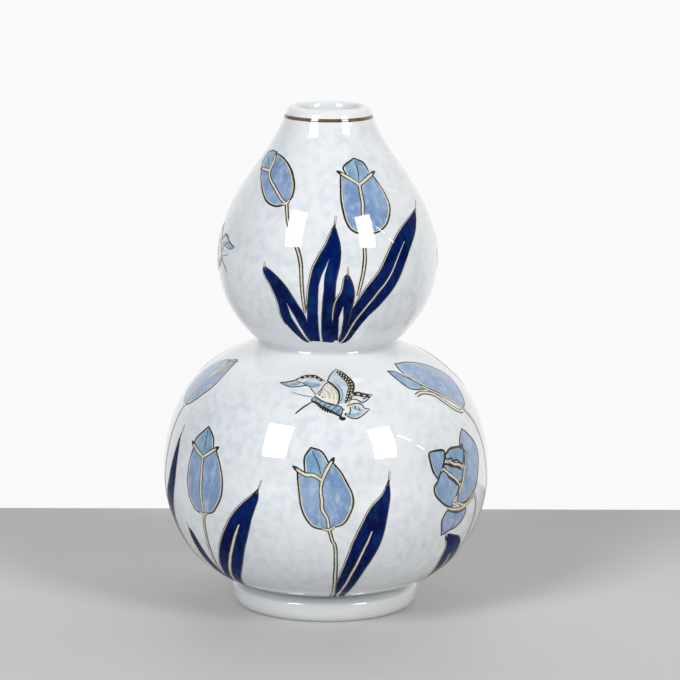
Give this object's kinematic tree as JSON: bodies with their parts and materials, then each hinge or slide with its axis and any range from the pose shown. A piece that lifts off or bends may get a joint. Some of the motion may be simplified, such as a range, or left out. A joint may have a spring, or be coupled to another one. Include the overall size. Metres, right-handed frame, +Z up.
{
  "type": "tulip vase",
  "caption": "Double-gourd glazed ceramic vase with a narrow mouth, a short foot ring and raised enamel tulips, leaves and butterflies round both bulbs.",
  "frame": {"origin": "centre of the standing ring, on the surface that the vase stands on", "axes": "+Z up along the vase's axis; the side with the two tall tulips faces -Y; +X to the viewer's right"},
  "size_m": [0.1424, 0.1438, 0.2192],
  "materials": {
    "porcelain": "glossy clear glaze over white porcelain with a pale blue-grey mottled wash",
    "petal_enamel": "glossy pale blue enamel with dark brown brush outlines",
    "leaf_enamel": "glossy deep cobalt enamel with a cream midrib",
    "wing_enamel": "glossy pale blue and cream enamel with dark spots",
    "rim_enamel": "glossy brown line"
  },
  "bodies": {
    "root": {"foot_ring": "porcelain", "lower_bulb_bowl": "porcelain", "lower_bulb_dome": "porcelain", "upper_bulb_bowl": "porcelain", "upper_bulb_shoulder": "porcelain", "mouth_ring": "porcelain", "rim_line": "rim_enamel", "upper_leaves_near": "leaf_enamel", "upper_leaves_far": "leaf_enamel", "lower_leaf_front_near": "leaf_enamel", "lower_leaf_front_far": "leaf_enamel", "lower_leaf_left_near": "leaf_enamel", "lower_leaf_left_far": "leaf_enamel", "lower_leaf_far_left_near": "leaf_enamel", "lower_leaf_far_left_far": "leaf_enamel", "lower_leaf_right_near": "leaf_enamel", "lower_leaf_right_far": "leaf_enamel", "upper_tulip_left_near": "petal_enamel", "upper_tulip_left_far": "petal_enamel", "upper_tulip_right_near": "petal_enamel", "upper_tulip_right_far": "petal_enamel", "lower_tulip_front_near": "petal_enamel", "lower_tulip_front_far": "petal_enamel", "lower_tulip_left_near": "petal_enamel", "lower_tulip_left_far": "petal_enamel", "lower_tulip_far_left_near": "petal_enamel", "lower_tulip_far_left_far": "petal_enamel", "lower_tulip_high_right_near": "petal_enamel", "lower_tulip_high_right_far": "petal_enamel", "lower_tulip_right_near": "petal_enamel", "lower_tulip_right_far": "petal_enamel", "upper_butterfly_near": "wing_enamel", "upper_butterfly_far": "wing_enamel", "lower_butterfly_near": "wing_enamel", "lower_butterfly_far": "wing_enamel"}
  },
  "joints": []
}
